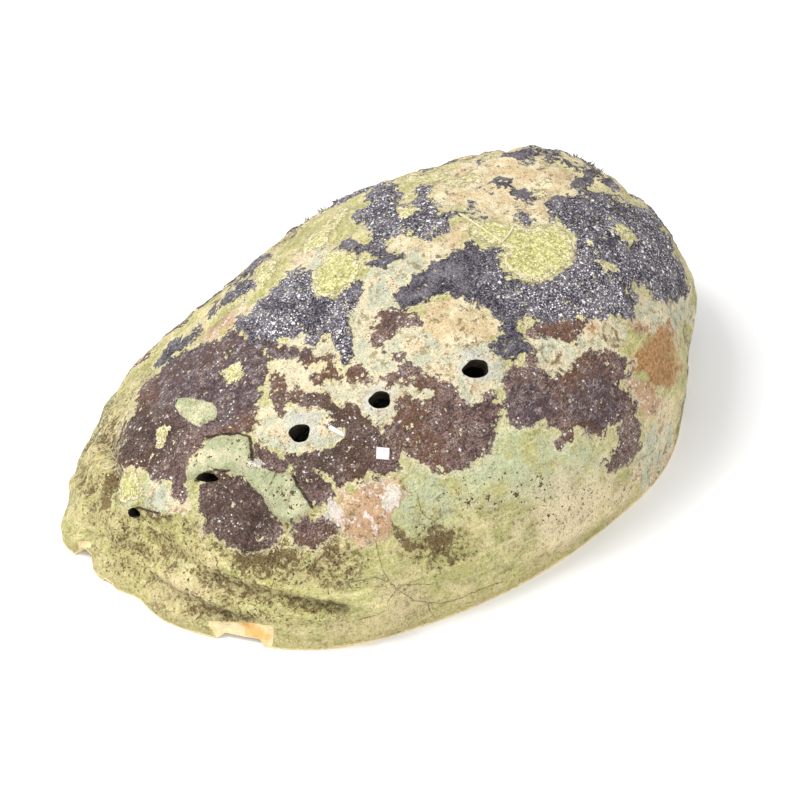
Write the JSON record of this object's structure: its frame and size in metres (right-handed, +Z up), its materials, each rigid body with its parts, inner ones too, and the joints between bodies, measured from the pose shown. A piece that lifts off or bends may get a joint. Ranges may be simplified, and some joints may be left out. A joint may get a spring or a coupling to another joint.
{
  "type": "abalone shell",
  "caption": "Hollow ear-shaped sea shell lying mouth down on its margin, with a row of breathing holes, growth folds, a low spire and a chipped lip.",
  "frame": {"origin": "middle of the bottom of the shell's box, on the surface that the margin rests on", "axes": "+X towards the spire end, -X towards the growing lip, the row of holes on the -Y side, +Z up"},
  "size_m": [0.1506, 0.1048, 0.0482],
  "materials": {
    "shell": "rough chalky shell, olive green with dark purple and maroon crusts, cream and lime patches, pearly inside"
  },
  "bodies": {
    "root": {"shell": "shell"}
  },
  "joints": []
}
